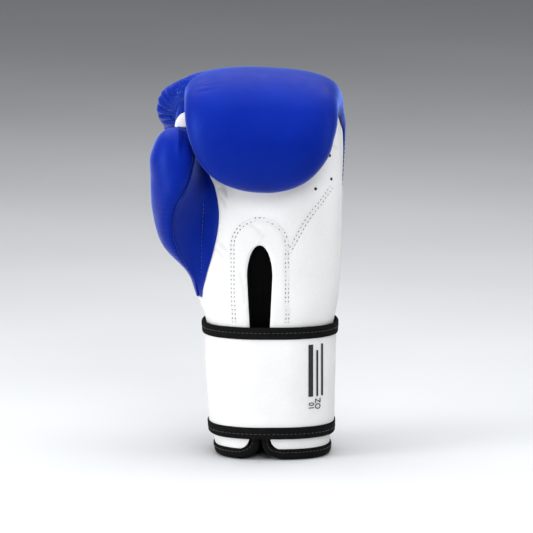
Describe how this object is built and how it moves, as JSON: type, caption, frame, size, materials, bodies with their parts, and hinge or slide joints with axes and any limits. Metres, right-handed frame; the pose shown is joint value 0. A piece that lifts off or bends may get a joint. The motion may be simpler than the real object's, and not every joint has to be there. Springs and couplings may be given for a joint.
{
  "type": "boxing training glove",
  "caption": "Padded left-hand boxing training glove with a curled finger roll, attached thumb, slit cuff and a hook-and-loop wrist strap, standing on its cuff.",
  "frame": {"origin": "middle of the bounding box's footprint, on the plane that the cuff rim stands on", "axes": "+Z from the cuff rim to the knuckles, -Y the palm side, -X the thumb side"},
  "size_m": [0.144, 0.1226, 0.288],
  "materials": {
    "blue_leather": "semi-gloss smooth leather",
    "white_leather": "satin fine-grained leather",
    "black_tape": "folded binding tape",
    "black_elastic": "ribbed elastic webbing",
    "hook_and_loop": "matte hook and loop",
    "lining_cloth": "smooth woven lining",
    "pad_foam": "matte moulded foam",
    "label_cloth": "woven label"
  },
  "bodies": {
    "hand": {"cuff_flap_thumb_side": "white_leather", "cuff_flap_pinky_side": "white_leather", "cuff_back_panel": "white_leather", "cuff_foam": "pad_foam", "cuff_lining": "lining_cloth", "cuff_rim_tape": "black_tape", "slit_elastic_gusset": "black_elastic", "size_label": "label_cloth", "loop_patch": "hook_and_loop", "palm_panel": "white_leather", "slit_facing": "white_leather", "palm_foam": "pad_foam", "palm_lining": "lining_cloth", "index_side_panel": "white_leather", "pinky_side_panel": "white_leather", "grip_bar": "pad_foam", "back_shell": "blue_leather", "back_foam": "pad_foam", "back_lining": "lining_cloth", "thumb_tab": "white_leather", "strap_anchor_face": "white_leather", "strap_anchor_tape_top": "black_tape", "strap_anchor_tape_bottom": "black_tape", "strap_anchor_core": "pad_foam"},
    "fingers": {"finger_shell": "blue_leather", "finger_foam": "pad_foam", "finger_underside": "blue_leather", "finger_lining": "lining_cloth"},
    "thumb": {"thumb_outer_shell": "blue_leather", "thumb_inner_shell": "blue_leather", "thumb_foam": "pad_foam", "thumb_lining": "lining_cloth"},
    "strap_front": {"strap_front_face": "white_leather", "strap_front_tape_top": "black_tape", "strap_front_tape_bottom": "black_tape", "strap_front_core": "pad_foam", "strap_front_backing": "lining_cloth"},
    "strap_end": {"strap_end_face": "white_leather", "strap_end_tape_top": "black_tape", "strap_end_tape_bottom": "black_tape", "strap_end_backing": "lining_cloth", "hook_patch": "hook_and_loop", "strap_end_tab": "black_tape"}
  },
  "joints": [
    {"name": "strap_open", "type": "hinge", "parent": "hand", "child": "strap_front", "pos_m": [-0.03423, 0.00726, 0.058], "axis": [0, 0, -1], "range_deg": [0, 60]},
    {"name": "strap_end_peel", "type": "hinge", "parent": "strap_front", "child": "strap_end", "pos_m": [0.06577, -0.00274, 0.058], "axis": [0, 0, -1], "range_deg": [0, 125]},
    {"name": "finger_uncurl", "type": "hinge", "parent": "hand", "child": "fingers", "pos_m": [0.00987, -0.00274, 0.2886], "axis": [-1, 0, 0], "range_deg": [0, 8], "stiffness_Nm_per_rad": 1.5, "springref_deg": -2.86},
    {"name": "thumb_flex", "type": "hinge", "parent": "hand", "child": "thumb", "pos_m": [-0.03513, -0.00274, 0.118], "axis": [0, -1, 0], "range_deg": [0, 5], "stiffness_Nm_per_rad": 1.5, "springref_deg": -2.86}
  ],
  "couplings": [
    {"joint": "strap_end_peel", "follows": "strap_open", "ratio": 2}
  ]
}
